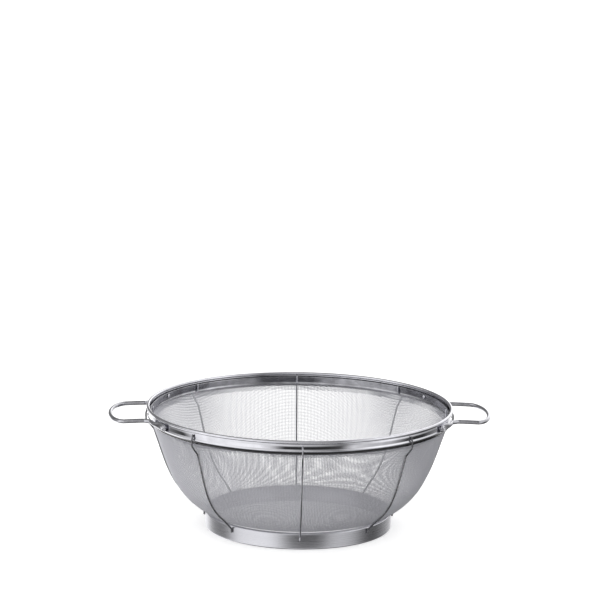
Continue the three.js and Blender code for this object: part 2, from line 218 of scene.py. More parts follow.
# ---------- meshes ----------
def ring_faces(rows, columns, closed_rows, closed_columns):
    """Quads of a grid of vertices, row by row, whose rows and columns may close on themselves."""
    row = np.arange(rows if closed_rows else rows - 1)
    column = np.arange(columns if closed_columns else columns - 1)
    i, j = np.meshgrid(row, column, indexing="ij")
    next_i = (i + 1) % rows
    next_j = (j + 1) % columns
    corners = [i * columns + j, next_i * columns + j, next_i * columns + next_j, i * columns + next_j]
    return np.stack(corners, axis=-1).reshape(-1, 4)


def turned(outline, segments=RING_SEGMENTS):
    """Vertices and faces of a closed (radius, height) outline turned once round the Z axis."""
    angles = np.linspace(0, 2 * np.pi, segments, endpoint=False)[:, None]
    x = np.cos(angles) * outline[:, 0]
    y = np.sin(angles) * outline[:, 0]
    z = np.ones_like(angles) * outline[:, 1]
    vertices = np.stack([x, y, z], axis=-1).reshape(-1, 3)
    return vertices, ring_faces(segments, len(outline), True, True)


def swept(centres, half_a, half_b, sides):
    """Vertices and faces of a bar with an oval section, closed by rounded ends."""
    along = tangents(centres)
    length = np.linalg.norm(half_a[0])
    cap = np.radians([80, 55, 30, 10])  # rings of the rounded ends, as angles above their rim
    start = [(0, -math.sin(c) * length, math.cos(c)) for c in cap]
    end = [(-1, math.sin(c) * length, math.cos(c)) for c in cap[::-1]]
    rows = []
    for index, shift, size in start:
        rows.append((centres[index] + along[index] * shift, half_a[index] * size, half_b[index] * size))
    rows.extend(zip(centres, half_a, half_b))
    for index, shift, size in end:
        rows.append((centres[index] + along[index] * shift, half_a[index] * size, half_b[index] * size))
    angle = np.linspace(0, 2 * np.pi, sides, endpoint=False)[:, None]
    vertices = np.vstack([c + a * np.cos(angle) + b * np.sin(angle) for c, a, b in rows])
    faces = ring_faces(len(rows), sides, False, True).tolist()
    last = (len(rows) - 1) * sides
    faces.append(list(range(sides)))
    faces.append(list(range(last + sides - 1, last - 1, -1)))
    return vertices, faces


def make_piece(name, vertices, faces, material, slot, nodes, sharp=40):
    """A smooth-shaded mesh object that stands for CAD nodes. Edges sharper than the angle stay sharp."""
    mesh = bpy.data.meshes.new(name)
    mesh.from_pydata((np.asarray(vertices) * MM).tolist(), [], [list(face) for face in faces])
    shape = bmesh.new()
    shape.from_mesh(mesh)
    bmesh.ops.recalc_face_normals(shape, faces=shape.faces)
    shape.to_mesh(mesh)
    shape.free()
    mesh.shade_smooth()
    mesh.set_sharp_from_angle(angle=math.radians(sharp))
    piece = bpy.data.objects.new(name, mesh)
    bpy.context.scene.collection.objects.link(piece)
    mesh.materials.append(material)
    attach(piece, "root")
    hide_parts(*nodes)
    return piece


# ---------- steels ----------
TINT = 1.06  # blue against red and green
PAINTED_SHADE_SHARE = 0.1  # painted shade: steel below the shaded lip's height keeps this share of its colour
PAINTED_SHADE_BLEND = 0.4  # mm above and below the shaded lip's height, over which the painted shade fades


def linked(tree, kind, settings=(), **inputs):
    """A new node. Each input is a value, or another node's output to link. _2 stands for input number 2."""
    node = tree.nodes.new(kind)
    for name, value in settings:
        setattr(node, name, value)
    for name, value in inputs.items():
        socket = node.inputs[int(name[1:])] if name[0] == "_" else node.inputs[name.replace("_", " ")]
        if isinstance(value, bpy.types.NodeSocket):
            tree.links.new(value, socket)
        else:
            socket.default_value = value
    return node


def maths(tree, operation, a, b=0.0):
    """The output of a new maths node."""
    return linked(tree, "ShaderNodeMath", [("operation", operation)], _0=a, _1=b).outputs[0]


def streaks(tree, along, across, detail=3.0):
    """Noise drawn out round the Z axis, as turning and polishing marks are. Frequencies are per metre."""
    position = tree.nodes.new("ShaderNodeTexCoord").outputs["Object"]
    axes = linked(tree, "ShaderNodeSeparateXYZ", Vector=position).outputs
    radius = maths(tree, "SQRT", maths(tree, "ADD", maths(tree, "MULTIPLY", axes[0], axes[0]),
                                       maths(tree, "MULTIPLY", axes[1], axes[1])))
    height = maths(tree, "ADD", axes[2], maths(tree, "MULTIPLY", radius, 0.7))
    stretched = linked(
        tree, "ShaderNodeCombineXYZ",
        X=maths(tree, "MULTIPLY", axes[0], along),
        Y=maths(tree, "MULTIPLY", axes[1], along),
        Z=maths(tree, "MULTIPLY", height, across),
    ).outputs[0]
    return linked(tree, "ShaderNodeTexNoise", Vector=stretched, Scale=1.0, Detail=detail).outputs[0]


def grain(tree, scale, detail=4.0):
    """Even noise, with features about one over the scale of a metre across."""
    position = tree.nodes.new("ShaderNodeTexCoord").outputs["Object"]
    return linked(tree, "ShaderNodeTexNoise", Vector=position, Scale=scale, Detail=detail).outputs[0]


def ranged(tree, value, low, high):
    """Noise, which stays near a half, spread over a range."""
    return linked(tree, "ShaderNodeMapRange", _0=value, _1=0.3, _2=0.7, _3=low, _4=high).outputs[0]


def tinted(tree, value, dark, light):
    """Noise as a colour between two slightly blue greys."""
    ramp = tree.nodes.new("ShaderNodeValToRGB")
    ramp.color_ramp.elements[0].position = 0.35
    ramp.color_ramp.elements[0].color = (dark, dark, dark * TINT, 1)
    ramp.color_ramp.elements[1].position = 0.65
    ramp.color_ramp.elements[1].color = (light, light, light * TINT, 1)
    tree.links.new(value, ramp.inputs[0])
    return ramp.outputs[0]


def bumped(tree, height, distance, onto=None):
    """A bump of this depth in metres, on top of another one if there is one."""
    node = linked(tree, "ShaderNodeBump", Height=height, Distance=distance, Strength=1.0)
    if onto is not None:
        tree.links.new(onto, node.inputs["Normal"])
    return node.outputs[0]


def new_steel(name):
    """An empty steel material, its node tree and its shader."""
    material = bpy.data.materials.new(name)
    material.use_nodes = True
    shader = material.node_tree.nodes["Principled BSDF"]
    shader.inputs["Metallic"].default_value = 1.0
    return material, material.node_tree, shader


def painted_shade_below(tree, colour, dark_z, light_z, share):
    """Painted shade: the colour, cut to a share of itself below a height, for steel in shade under a rim."""
    position = tree.nodes.new("ShaderNodeTexCoord").outputs["Object"]
    height = linked(tree, "ShaderNodeSeparateXYZ", Vector=position).outputs[2]
    limits = {"_1": dark_z * MM, "_2": light_z * MM, "_3": share, "_4": 1.0}
    amount = linked(tree, "ShaderNodeMapRange", _0=height, **limits).outputs[0]
    return linked(tree, "ShaderNodeVectorMath", [("operation", "MULTIPLY")], _0=colour, _1=amount).outputs[0]


def polished_steel(name, dark, light, smooth, rough, shade_z=0.0):
    """Rolled and polished sheet: faint turning marks and a slight haze, and painted shade below the shade
    height.

    The table is at 0, so a part that keeps this default gets no painted shade anywhere.
    """
    material, tree, shader = new_steel(name)
    marks = streaks(tree, along=9, across=5200)
    haze = grain(tree, 90)
    waves = streaks(tree, along=26, across=12, detail=1.0)
    hazy = tinted(tree, haze, dark, light)
    # Painted shade: the colour is cut down below the shade height, where the lip under the ridge lies in
    # shade.
    colour = painted_shade_below(tree, hazy, shade_z - PAINTED_SHADE_BLEND, shade_z + PAINTED_SHADE_BLEND, PAINTED_SHADE_SHARE)
    tree.links.new(colour, shader.inputs["Base Color"])
    tree.links.new(ranged(tree, marks, smooth, rough), shader.inputs["Roughness"])
    wavy = bumped(tree, waves, 0.04 * MM)
    tree.links.new(bumped(tree, marks, 0.0012 * MM, wavy), shader.inputs["Normal"])
    return material


def satin_steel():
    """Foot sheet brushed round its axis, so highlights stand as upright stripes."""
    material, tree, shader = new_steel("satin_foot_steel")
    brushing = streaks(tree, along=16, across=7000)
    waves = streaks(tree, along=34, across=5, detail=1.0)
    tree.links.new(tinted(tree, brushing, 0.56, 0.68), shader.inputs["Base Color"])
    tree.links.new(ranged(tree, brushing, 0.22, 0.34), shader.inputs["Roughness"])
    shader.inputs["Anisotropic"].default_value = 0.6
    direction = linked(tree, "ShaderNodeTangent", [("direction_type", "RADIAL"), ("axis", "Z")]).outputs[0]
    tree.links.new(direction, shader.inputs["Tangent"])
    wavy = bumped(tree, waves, 0.09 * MM)
    tree.links.new(bumped(tree, brushing, 0.003 * MM, wavy), shader.inputs["Normal"])
    return material


def drawn_wire_steel(name, dark, light, smooth, rough):
    """Drawn wire with small dull patches and fine pits."""
    material, tree, shader = new_steel(name)
    dull = grain(tree, 260)
    pits = grain(tree, 2400)
    tree.links.new(tinted(tree, dull, dark, light), shader.inputs["Base Color"])
    tree.links.new(ranged(tree, dull, smooth, rough), shader.inputs["Roughness"])
    tree.links.new(bumped(tree, pits, 0.006 * MM), shader.inputs["Normal"])
    return material


def woven_steel():
    """Fine mesh wire. Its colour is even, and its gloss varies from wire to wire."""
    material, tree, shader = new_steel("woven_wire_steel")
    shader.inputs["Base Color"].default_value = (0.66, 0.66, 0.66 * TINT, 1)
    dull = grain(tree, 700)
    tree.links.new(ranged(tree, dull, 0.32, 0.5), shader.inputs["Roughness"])
    return material


# The band's steel carries painted shade on its lip under the ridge.
POLISHED = polished_steel("polished_band_steel", 0.62, 0.70, 0.06, 0.12, SHADED_LIP_Z)
CLAMP = polished_steel("clamp_ring_steel", 0.30, 0.46, 0.08, 0.18)
SATIN = satin_steel()
BRIGHT_WIRE = drawn_wire_steel("bright_wire_steel", 0.60, 0.76, 0.04, 0.11)
HANDLE_WIRE = drawn_wire_steel("handle_wire_steel", 0.40, 0.54, 0.04, 0.11)
# The front rib's steel is a lit copy of the rib steel, with painted light; the other ribs' darker steel is
# the shaded copy, with painted shade.
LIT_FRONT_RIB_STEEL = drawn_wire_steel("front_rib_wire_steel", 0.38, 0.50, 0.07, 0.15)
SHADED_RIB_WIRE = drawn_wire_steel("rib_wire_steel", 0.15, 0.25, 0.07, 0.15)
WOVEN = woven_steel()


# ---------- woven bowl ----------
def bezier(p0, p1, p2, p3, steps):
    """Points of a cubic curve from p0 to p3."""
    t = np.linspace(0, 1, steps)[:, None]
    p0, p1, p2, p3 = map(np.asarray, (p0, p1, p2, p3))
    return (1 - t) ** 3 * p0 + 3 * t * (1 - t) ** 2 * p1 + 3 * t**2 * (1 - t) * p2 + t**3 * p3


WALL = bezier((FLOOR_RADIUS, FLOOR_Z), WALL_BELLY, WALL_WAIST, WALL_TOP, WALL_STEPS)


class Profile:
    """The bowl's centre line from the middle of the floor outward, by the distance along it."""

    def __init__(self, line):
        steps = np.linalg.norm(np.diff(line, axis=0), axis=1)
        self.distance = np.concatenate([[0], np.cumsum(steps)])
        self.line = line
        self.slope = tangents(line)

    def point(self, distance):
        radius = np.interp(distance, self.distance, self.line[:, 0])
        height = np.interp(distance, self.distance, self.line[:, 1])
        return radius, height

    def direction(self, distance):
        outward = np.interp(distance, self.distance, self.slope[:, 0])
        upward = np.interp(distance, self.distance, self.slope[:, 1])
        return outward, upward


def bowl_line(upright_top):
    """Floor, a small bend, the wall, and the last stretch: upright in the rim, or straight on."""
    bend_start = np.array((FLOOR_RADIUS - FLOOR_BEND, FLOOR_Z))
    bend_end = WALL[WALL[:, 0] > FLOOR_RADIUS + FLOOR_BEND][0]
    t = np.linspace(0, 1, 24)[:, None]
    bend = (1 - t) ** 2 * bend_start + 2 * t * (1 - t) * WALL[0] + t**2 * bend_end
    floor_radii = np.linspace(0, bend_start[0], 60, endpoint=False)
    floor = np.stack([floor_radii, np.full_like(floor_radii, FLOOR_Z)], axis=1)
    wall = WALL[WALL[:, 0] > bend_end[0]]
    if upright_top:
        top = np.array(MESH_IN_RIM)
    else:
        last_step = wall[-1] - wall[-2]
        top = [wall[-1] + last_step / np.linalg.norm(last_step) * WALL_RUN_ON]
    return np.vstack([floor, bend, wall, top])


def polar_point(profile, distance, azimuth):
    """Points of the bowl's surface, by their distance along the profile and their azimuth."""
    radius, height = profile.point(distance)
    return np.stack([radius * np.cos(azimuth), radius * np.sin(azimuth), height], axis=-1)


SOLVING_STEPS = 8
LARGEST_SLIDE = 1  # mm that a crossing may move along the profile in one step
LARGEST_TURN = 0.02  # radians that it may move round the bowl
NEARLY_NOTHING = 1e-6


def solve_quarter(count):
    """Distance and azimuth of every crossing in one quarter of the bowl.

    Woven cloth keeps its pitch along each wire and shears where it is drawn over a bowl. So each
    crossing lies one pitch from its two earlier neighbours, on the surface.
    """
    profile = Profile(bowl_line(upright_top=False))
    distance = np.zeros((count, count))
    azimuth = np.zeros((count, count))
    steps = np.arange(count) * MESH_PITCH
    distance[:, 0] = steps
    distance[0, :] = steps
    azimuth[0, 1:] = np.pi / 2
    for diagonal in range(2, 2 * count - 1):
        i = np.arange(max(1, diagonal - count + 1), min(count, diagonal))
        j = diagonal - i
        s = distance[i - 1, j] + distance[i, j - 1] - distance[i - 1, j - 1]
        a = azimuth[i - 1, j] + azimuth[i, j - 1] - azimuth[i - 1, j - 1]
        flat = np.hypot(i, j) * MESH_PITCH < SQUARE_CLOTH_RADIUS
        s = np.where(flat, np.hypot(i, j) * MESH_PITCH, s)
        a = np.where(flat, np.arctan2(j, i), a)
        first = polar_point(profile, distance[i - 1, j], azimuth[i - 1, j])
        second = polar_point(profile, distance[i, j - 1], azimuth[i, j - 1])
        for _ in range(SOLVING_STEPS):
            here = polar_point(profile, s, a)
            radius = profile.point(s)[0]
            outward, upward = profile.direction(s)
            d_s = np.stack([outward * np.cos(a), outward * np.sin(a), upward], axis=-1)
            d_a = np.stack([-radius * np.sin(a), radius * np.cos(a), 0 * a], axis=-1)
            to_first = here - first
            to_second = here - second
            miss_1 = (to_first**2).sum(-1) - MESH_PITCH**2
            miss_2 = (to_second**2).sum(-1) - MESH_PITCH**2
            m11 = 2 * (to_first * d_s).sum(-1)
            m12 = 2 * (to_first * d_a).sum(-1)
            m21 = 2 * (to_second * d_s).sum(-1)
            m22 = 2 * (to_second * d_a).sum(-1)
            scale = m11 * m22 - m12 * m21
            scale = np.where(np.abs(scale) < NEARLY_NOTHING, NEARLY_NOTHING, scale)
            slide = np.clip((m22 * miss_1 - m12 * miss_2) / scale, -LARGEST_SLIDE, LARGEST_SLIDE)
            swing = np.clip((m11 * miss_2 - m21 * miss_1) / scale, -LARGEST_TURN, LARGEST_TURN)
            s = s - np.where(flat, 0, slide)
            a = a - np.where(flat, 0, swing)
        distance[i, j] = s
        azimuth[i, j] = a
    return distance, azimuth


def full_net(turn, inset):
    """Numbers, centre points and normals of all crossings, as grids over both wire directions.

    The cloth is turned by an angle round the Z axis, and lies inside the bowl's surface by the inset.
    """
    profile = Profile(bowl_line(upright_top=True))
    count = int(profile.distance[-2] / MESH_PITCH) + 2
    distance, azimuth = solve_quarter(count)
    index = np.arange(-count + 1, count)
    i, j = np.meshgrid(index, index, indexing="ij")
    s = distance[abs(i), abs(j)]
    a = azimuth[abs(i), abs(j)]
    a = np.where(i < 0, np.pi - a, a)
    a = np.where(j < 0, -a, a) + turn
    outward, upward = profile.direction(s)
    normal = np.stack([-upward * np.cos(a), -upward * np.sin(a), outward], axis=-1)
    return i, j, polar_point(profile, s, a) + normal * inset, normal


def wire_mesh(centres, normals, used, lift):
    """Tubes along the second axis of a grid of crossings. lift moves each crossing over or under."""
    along = np.gradient(centres, axis=1)
    along /= np.linalg.norm(along, axis=-1, keepdims=True)
    side = np.cross(normals, along)
    side /= np.linalg.norm(side, axis=-1, keepdims=True)
    path = centres + normals * lift[..., None]
    angle = np.linspace(0, 2 * np.pi, MESH_WIRE_SIDES, endpoint=False)[:, None]
    radius = MESH_WIRE / 2
    rings = path[used][:, None] + radius * (
        normals[used][:, None] * np.cos(angle) + side[used][:, None] * np.sin(angle)
    )
    number = np.full(used.shape, -1)
    number[used] = np.arange(used.sum())
    joined = used[:, :-1] & used[:, 1:]
    start = number[:, :-1][joined][:, None] * MESH_WIRE_SIDES
    end = number[:, 1:][joined][:, None] * MESH_WIRE_SIDES
    k = np.arange(MESH_WIRE_SIDES)
    following = (k + 1) % MESH_WIRE_SIDES
    sides = np.stack([start + k, start + following, end + following, end + k], axis=-1).reshape(-1, 4)
    before = np.zeros_like(used)
    before[:, 1:] = joined
    after = np.zeros_like(used)
    after[:, :-1] = joined
    # A six-sided wire's end is closed by two quads.
    caps = []
    for ends, order in ((used & ~before, (0, 1, 2, 3, 4, 5)), (used & ~after, (5, 4, 3, 2, 1, 0))):
        first = number[ends][:, None] * MESH_WIRE_SIDES
        corners = first + np.array(order)
        caps.append(corners[:, [0, 1, 2, 3]])
        caps.append(corners[:, [0, 3, 4, 5]])
    return rings.reshape(-1, 3), np.vstack([sides, *caps])


def woven_pieces(label, net, low, high, part_count):
    """The wires of both directions between two heights. Each direction is cut into parts of equal size."""
    i, j, centres, normals = net
    height = centres[..., 2]
    inside = (height <= high) & (height >= low)
    lift = np.where((i + j) % 2 == 0, MESH_WIRE / 2, -MESH_WIRE / 2)
    directions = (
        ("along_y", i, centres, normals, inside, lift),
        ("along_x", j.T, centres.transpose(1, 0, 2), normals.transpose(1, 0, 2), inside.T, -lift.T),
    )
    for direction, order, points, faces_up, used, over in directions:
        limits = np.quantile(order[used], np.linspace(0, 1, part_count + 1))
        limits[-1] += 1
        for part in range(part_count):
            chosen = used & (order >= limits[part]) & (order < limits[part + 1])
            vertices, faces = wire_mesh(points, faces_up, chosen, over)
            name = f"{label}_wires_{direction}_{part + 1}"
            make_piece(name, vertices, faces, WOVEN, "woven_wire", ["mesh_bowl"], sharp=70)


def make_woven_bowl():
    """The bowl's cloth, and the folded layer that shows inside it under the rim."""
    bowl_net = full_net(0.0, 0.0)
    woven_pieces("bowl", bowl_net, 0.0, MESH_TOP - MESH_WIRE, MESH_PARTS)
    hem_net = full_net(HEM_TURN, HEM_INSET)
    woven_pieces("hem", hem_net, HEM_BOTTOM, HEM_TOP, 1)


# ---------- rim ----------
def make_rim():
    """The band with its rolled edge, the core wire in the roll, and the clamp ring inside."""
    wall = BAND_FACE - BAND_SHEET / 2
    crest = RIDGE_FACE - BAND_SHEET / 2
    roll = (RIM_RADIUS - ROLL_RADIUS, RIM_TOP - ROLL_RADIUS)
    lip = [
        (wall - 0.9, BAND_BOTTOM + 0.1),
        (wall - 0.55, BAND_BOTTOM + 1.5),
        (wall + 0.55, BAND_BOTTOM + 2.7),
    ]
    ridge = [
        (crest, RIDGE_Z),
        (wall + 0.5, RIDGE_Z + 0.85),
    ]
    flat_band = [
        (wall + BAND_CROWN, RIDGE_Z + 1.35),
        (wall + BAND_CROWN, RIDGE_Z + 3.0),
        (wall + BAND_CROWN * 0.75, RIDGE_Z + 4.3),
    ]
    neck = [
        (wall, RIM_TOP - 3.4),
        (wall + 0.12, RIM_TOP - 2.9),
        (wall + 0.55, RIM_TOP - 2.68),
    ]
    rolled = arc(roll, ROLL_RADIUS - BAND_SHEET / 2, ROLL_START, ROLL_END, 48)
    band_line = np.vstack([smooth_line(lip + ridge + flat_band + neck, 8), rolled])
    outline = sheet_outline(band_line, BAND_SHEET)
    make_piece("rim_band_polished", *turned(outline), POLISHED, "polished_band", ["rim_band"])

    core = arc(roll, CORE_RADIUS, 0, 345, 24)
    # The core wire takes the ribs' darker steel, the copy with painted shade.
    make_piece("rim_core_wire_round", *turned(core), SHADED_RIB_WIRE, "wire", ["rim_core_wire"])

    face = CLAMP_OUTER - CLAMP_SHEET / 2
    clamp = smooth_line(
        [
            (face - 0.55, CLAMP_BOTTOM + 0.1),
            (face - 0.2, CLAMP_BOTTOM + 0.9),
            (face, CLAMP_BOTTOM + 2.0),
            (face - 0.06, CLAMP_BOTTOM + 4.4),
            (face, CLAMP_TOP - CLAMP_SHEET / 2),
        ],
        8,
    )
    outline = sheet_outline(clamp, CLAMP_SHEET)
    make_piece("rim_clamp_ring_polished", *turned(outline), CLAMP, "polished_band", ["rim_clamp_ring"])


# ---------- foot ----------
def make_foot():
    """The foot ring: an upright wall with a flange under the bowl and a hem on the table, both turned in."""
    wall = FOOT_RADIUS - FOOT_SHEET / 2
    top = FOOT_HEIGHT - FOOT_SHEET / 2
    bottom = FOOT_SHEET / 2
    bend = 1.0
    line = np.vstack(
        [
            [(FOOT_RADIUS - FOOT_FLANGE, top)],
            arc((wall - bend, top - bend), bend, 90, 0, 12),
            arc((wall - bend, bottom + bend), bend, 0, -90, 12),
            [(FOOT_RADIUS - FOOT_HEM, bottom)],
        ]
    )
    outline = sheet_outline(line, FOOT_SHEET)
    make_piece("foot_ring_brushed", *turned(outline), SATIN, "satin_sheet", ["foot_ring"])


# ---------- ribs ----------
def upright_bar(line, azimuth, lean, radius, sides=16):
    """A round wire along a (radius, height) line, whose azimuth moves by lean degrees from foot to rim."""
    angle = np.radians(azimuth + lean * smoothstep(line[:, 1], LEAN_FROM_Z, LEAN_TO_Z))[:, None]
    outward = np.hstack([np.cos(angle), np.sin(angle), 0 * angle])
    sideways = np.hstack([-np.sin(angle), np.cos(angle), 0 * angle])
    centres = line[:, :1] * outward + line[:, 1:] * UP
    across = np.cross(tangents(centres), sideways)
    return swept(centres, sideways * radius, across * radius, sides)


def rib_line():
    """Down the band, in to the bowl, down its wall, and on to the foot ring."""
    lifted = WALL - left_of(WALL) * (MESH_WIRE + WELD_GAP + RIB_RADIUS)
    beside_mesh = (lifted[:, 1] < RIB_JOINS_MESH_Z) & (lifted[:, 0] > RIB_LEAVES_MESH_RADIUS)
    on_wall = lifted[beside_mesh][::-RIB_POINT_EVERY]
    on_band = BAND_FACE + WELD_GAP + RIB_RADIUS
    on_ridge = RIDGE_FACE + WELD_GAP + RIB_RADIUS + 0.1
    on_foot = FOOT_RADIUS + WELD_GAP + RIB_RADIUS
    down_band = [
        (on_band + 0.2, RIB_TOP_Z),
        (on_band + 0.4, RIB_TOP_Z - 2.0),
        (on_ridge, RIB_REACHES_RIDGE_Z),
        (on_ridge, RIB_LEAVES_BAND_Z),
    ]
    in_to_bowl = [
        (on_ridge - 0.8, RIB_LEAVES_BAND_Z - 2.2),
        RIB_NEARS_MESH,
    ]
    down_foot = [
        (on_foot + 0.5, RIB_BOTTOM_Z + 3.5),
        (on_foot, RIB_BOTTOM_Z + 2.1),
        (on_foot, RIB_BOTTOM_Z),
    ]
    return smooth_line([*down_band, *in_to_bowl, *on_wall, *down_foot], 8)


def make_ribs():
    """Eight ribs outside the bowl, and a short upright wire behind each of them inside the rim."""
    rib = rib_line()
    inside = CLAMP_OUTER - CLAMP_SHEET - 2 * WELD_GAP - RIB_RADIUS
    backing_z = np.linspace(BACKING_TOP_Z, BACKING_BOTTOM_Z, BACKING_POINTS)
    backing = np.stack([np.full(BACKING_POINTS, inside), backing_z], axis=1)
    for k in range(RIB_COUNT):
        azimuth = -90 + RIB_CLOCKING + k * 360 / RIB_COUNT
        shape = upright_bar(rib, azimuth, RIB_TOP_LEANS[k], RIB_RADIUS)
        # Painted light and shade: the front rib gets the lit copy of the rib steel, the others the shaded
        # copy.
        steel = LIT_FRONT_RIB_STEEL if k == FRONT_RIB else SHADED_RIB_WIRE
        make_piece(f"rib_wire_{k + 1}", *shape, steel, "wire", [f"rib_{k + 1}"])
        shape = upright_bar(backing, azimuth, RIB_TOP_LEANS[k], RIB_RADIUS)
        make_piece(f"rib_backing_wire_{k + 1}", *shape, BRIGHT_WIRE, "wire", [f"rib_backing_{k + 1}"])


# ---------- handles ----------
def half_handle():
    """Centres and half axes from the tip on +X to the flattened foot at +Y."""
    reach = HANDLE_REACH - HANDLE_RADIUS
    on_rim = RIDGE_FACE + HANDLE_GAP + HANDLE_RADIUS
    leg_end = math.sqrt(on_rim**2 - HANDLE_HALF_SPREAD**2) + HANDLE_LEG_GAP
    bend_angle = math.degrees(math.asin(HANDLE_HALF_SPREAD / on_rim)) + HANDLE_LEG_TURN
    flat_from = bend_angle + FLATTENING_FROM
    flat_to = PAD_ANGLE - PAD_FLAT_BEFORE
    last_angle = PAD_ANGLE + PAD_LENGTH_PAST_RIVET
    quarter = np.radians(np.linspace(0, 90, 14))
    end_x = reach - HANDLE_END_DEPTH * (1 - np.cos(quarter))
    loop_end = np.stack([end_x, HANDLE_HALF_SPREAD * np.sin(quarter)], axis=1)
    leg = [(leg_end + 1.5, HANDLE_HALF_SPREAD), (leg_end, HANDLE_HALF_SPREAD)]
    rim_angles = np.radians(np.linspace(bend_angle, last_angle, 9))
    flat = smoothstep(np.degrees(rim_angles), flat_from, flat_to)
    pad_middle = PAD_BACK + PAD_HALF_THICKNESS
    rim_radius = on_rim + (pad_middle - on_rim) * flat
    along_rim = np.stack([rim_radius * np.cos(rim_angles), rim_radius * np.sin(rim_angles)], axis=1)
    path = smooth_line(np.vstack([loop_end, leg, along_rim]), 6)
    angle = np.degrees(np.arctan2(path[:, 1], path[:, 0]))
    near_rim = np.hypot(path[:, 0], path[:, 1]) < on_rim + 1
    flat = np.where(near_rim, smoothstep(angle, flat_from, flat_to), 0)
    round_off = np.sqrt(np.clip(1 - ((angle - PAD_ANGLE) / PAD_ROUNDING) ** 2, 0.05, 1))
    half_height = HANDLE_RADIUS + (PAD_HALF_HEIGHT - HANDLE_RADIUS) * flat
    half_height = np.where(angle > PAD_ANGLE, half_height * round_off, half_height)
    half_thickness = HANDLE_RADIUS + (PAD_HALF_THICKNESS - HANDLE_RADIUS) * flat
    droop = HANDLE_DROOP * smoothstep(path[:, 0], leg_end, reach)
    height = HANDLE_Z - droop + (RIVET_Z - HANDLE_Z + droop) * flat
    along = tangents(path)
    along[0] = (0, 1)
    across = np.stack([-along[:, 1], along[:, 0], 0 * angle], axis=1)
    centres = np.column_stack([path, height])
    return centres, across * half_thickness[:, None], UP * half_height[:, None]


def make_handles():
    """The right handle, mirrored about the X axis from its half, and the left one, half a turn round."""
    centres, thick, tall = half_handle()
    flip = np.array([1, -1, 1])
    centres = np.vstack([(centres * flip)[:0:-1], centres])
    thick = np.vstack([(thick * flip)[:0:-1], thick])
    tall = np.vstack([tall[:0:-1], tall])
    vertices, faces = swept(centres, thick, tall, 24)
    make_piece("handle_wire_right", vertices, faces, HANDLE_WIRE, "wire", ["handle_right"], sharp=60)
    half_turn = vertices * np.array([-1, -1, 1])
    make_piece("handle_wire_left", half_turn, faces, HANDLE_WIRE, "wire", ["handle_left"], sharp=60)


# ---------- rivets ----------
def make_rivets():
    """Each rivet is turned about its own axis, then laid along a radius of the rim."""
    pad_face = PAD_BACK + 2 * PAD_HALF_THICKNESS
    tail_face = CLAMP_OUTER - CLAMP_SHEET - 2 * WELD_GAP
    tail = [
        (0.0, tail_face - 0.9),
        (RIVET_TAIL - 0.9, tail_face - 0.8),
        (RIVET_TAIL - 0.2, tail_face - 0.45),
        (RIVET_TAIL, tail_face),
        (RIVET_SHANK, tail_face),
    ]
    head = [
        (RIVET_SHANK, pad_face),
        (RIVET_HEAD, pad_face),
        (RIVET_HEAD + 0.05, pad_face + 0.35),
        (RIVET_HEAD - 0.4, pad_face + 0.95),
        (RIVET_HEAD - 1.0, pad_face + 1.05),
        (RIVET_HEAD - 1.35, pad_face + 0.75),
        (RIVET_HEAD - 1.9, pad_face + 1.15),
        (0.0, pad_face + 1.3),
    ]
    profile = np.array(tail + head)
    angles = np.linspace(0, 2 * np.pi, RIVET_SEGMENTS, endpoint=False)[:, None]
    along = np.ones_like(angles) * profile[:, 1]
    across = np.cos(angles) * profile[:, 0]
    height = np.sin(angles) * profile[:, 0] + RIVET_Z
    faces = ring_faces(RIVET_SEGMENTS, len(profile), True, False)
    places = {
        "right_front": -PAD_ANGLE,
        "right_back": PAD_ANGLE,
        "left_front": 180 + PAD_ANGLE,
        "left_back": 180 - PAD_ANGLE,
    }
    for name, azimuth in places.items():
        turn = math.radians(azimuth)
        x = along * math.cos(turn) - across * math.sin(turn)
        y = along * math.sin(turn) + across * math.cos(turn)
        vertices = np.stack([x, y, height], axis=-1).reshape(-1, 3)
        shape_name = f"rivet_{name}_domed"
        rivet = make_piece(shape_name, vertices, faces, BRIGHT_WIRE, "polished_band", [f"rivet_{name}"])
        merge_poles(rivet.data)


def merge_poles(mesh):
    """Joins the points that meet on a turned piece's own axis."""
    shape = bmesh.new()
    shape.from_mesh(mesh)
    bmesh.ops.remove_doubles(shape, verts=shape.verts, dist=1e-7)
    bmesh.ops.recalc_face_normals(shape, faces=shape.faces)
    shape.to_mesh(mesh)
    shape.free()


# ---------- studio ----------
FLOOR_HALF_SIDE = 12.0
INNER_FLOOR_HALF_SIDE = 0.055  # a square that fits inside the foot ring
INNER_FLOOR_LIFT = 0.00005


def make_floor():
    """A plain white floor. The steel mirrors only the part of it that lies inside the foot ring."""
    material = bpy.data.materials.new("white_floor")
    material.use_nodes = True
    shader = material.node_tree.nodes["Principled BSDF"]
    shader.inputs["Base Color"].default_value = (0.9, 0.9, 0.9, 1)
    shader.inputs["Roughness"].default_value = 1.0
    shader.inputs["Specular IOR Level"].default_value = 0.0
    shader.inputs["Emission Color"].default_value = (1, 1, 1, 1)
    shader.inputs["Emission Strength"].default_value = 0.4
    squares = (
        ("floor", FLOOR_HALF_SIDE, 0.0),
        ("floor_inside_foot", INNER_FLOOR_HALF_SIDE, INNER_FLOOR_LIFT),
    )
    for name, half, height in squares:
        mesh = bpy.data.meshes.new(name)
        corners = [(-half, -half, height), (half, -half, height), (half, half, height), (-half, half, height)]
        mesh.from_pydata(corners, [], [(0, 1, 2, 3)])
        mesh.materials.append(material)
        plane = bpy.data.objects.new(name, mesh)
        bpy.context.scene.collection.objects.link(plane)
        plane.visible_glossy = name != "floor"


def mixed(tree, share, first, second):
    """Two colours mixed: only the first at a share of 0, only the second at 1."""
    return linked(tree, "ShaderNodeMix", [("data_type", "RGBA")], _0=share, _6=first, _7=second).outputs[2]


